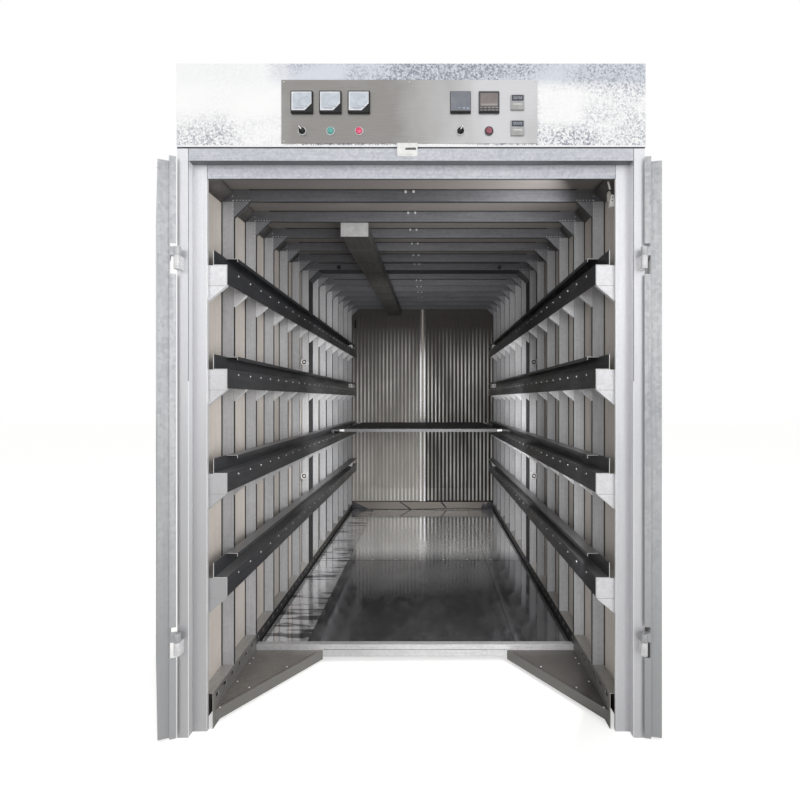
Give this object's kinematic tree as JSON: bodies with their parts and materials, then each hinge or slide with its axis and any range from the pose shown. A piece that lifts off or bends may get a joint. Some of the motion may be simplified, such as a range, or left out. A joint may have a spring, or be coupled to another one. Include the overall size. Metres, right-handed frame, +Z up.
{
  "type": "curing chamber",
  "caption": "Walk-in curing chamber: insulated cabin on steel ribs, with shelf rails, a sliding carrier tray, double doors and a control header.",
  "frame": {"origin": "on the ground in the middle of the cabin's footprint, on the underside of the middle floor bearer", "axes": "+Z up, doorway faces -Y, +X to the right seen from the doorway"},
  "size_m": [2.364, 4.003, 2.457],
  "materials": {
    "insulated_panel": "coated sheet, satin",
    "galvanised_sheet": "galvanised, spangled",
    "galvanised_rib": "galvanised, dull",
    "dark_rail": "dark steel, satin",
    "bracket_steel": "galvanised, dull",
    "floor_sheet": "dark sheet, glossy",
    "lining_sheet": "coated sheet, satin",
    "bright_trim": "bright folded sheet",
    "seal_rubber": "matte",
    "stainless_plate": "brushed",
    "meter_face": "glazed dial",
    "controller_case": "moulded",
    "counter_case": "moulded",
    "switch_plastic": "moulded",
    "button_plastic": "moulded",
    "hinge_steel": "zinc plated",
    "keeper_steel": "white enamel",
    "joint_washer": "zinc plated",
    "switch_body": "moulded",
    "door_sheet": "coated sheet, satin",
    "handle_steel": "polished",
    "tray_steel": "dark sheet, satin",
    "tray_tube": "zinc plated",
    "trunking_steel": "dark sheet, satin"
  },
  "bodies": {
    "chamber": {"left_wall": "insulated_panel", "right_wall": "insulated_panel", "roof": "insulated_panel", "rear_wall": "insulated_panel", "rear_lining": "lining_sheet", "rear_trims": "bright_trim", "sill_channels": "galvanised_rib", "floor_panels": "floor_sheet", "floor_bearers": "galvanised_rib", "floor_nosing": "galvanised_rib", "entry_plates": "floor_sheet", "left_uprights": "galvanised_rib", "right_uprights": "galvanised_rib", "roof_bows": "galvanised_rib", "corner_haunches": "galvanised_rib", "module_seal": "seal_rubber", "frame_posts": "galvanised_sheet", "door_jambs": "galvanised_sheet", "frame_top_member": "galvanised_sheet", "frame_head": "galvanised_sheet", "left_brackets": "bracket_steel", "right_brackets": "bracket_steel", "ceiling_trunking": "trunking_steel", "header_box": "galvanised_sheet", "control_plate": "stainless_plate", "ammeters": "meter_face", "temperature_controllers": "controller_case", "counters": "counter_case", "selector_switches": "switch_plastic", "push_buttons": "button_plastic", "latch_keeper": "keeper_steel", "frame_hinges": "hinge_steel", "joint_bolts": "joint_washer", "limit_switch": "switch_body", "left_rail_1": "dark_rail", "right_rail_1": "dark_rail", "left_rail_2": "dark_rail", "right_rail_2": "dark_rail", "left_rail_3": "dark_rail", "right_rail_3": "dark_rail", "left_rail_4": "dark_rail", "right_rail_4": "dark_rail"},
    "left_door": {"left_door": "door_sheet", "left_door_handle": "handle_steel"},
    "right_door": {"right_door": "door_sheet", "right_door_handle": "handle_steel"},
    "carrier_tray": {"tray_frame": "tray_tube", "tray_plate": "tray_steel"}
  },
  "joints": [
    {"name": "left_door_hinge", "type": "hinge", "parent": "chamber", "child": "left_door", "pos_m": [-0.838, -2.011, 1], "axis": [0, 0, 1], "range_deg": [-16, 244]},
    {"name": "right_door_hinge", "type": "hinge", "parent": "chamber", "child": "right_door", "pos_m": [0.838, -2.011, 1], "axis": [0, 0, -1], "range_deg": [-4, 256]},
    {"name": "tray_slide", "type": "slide", "parent": "chamber", "child": "carrier_tray", "axis": [0, -1, 0], "range_m": [0, 2.1]}
  ]
}
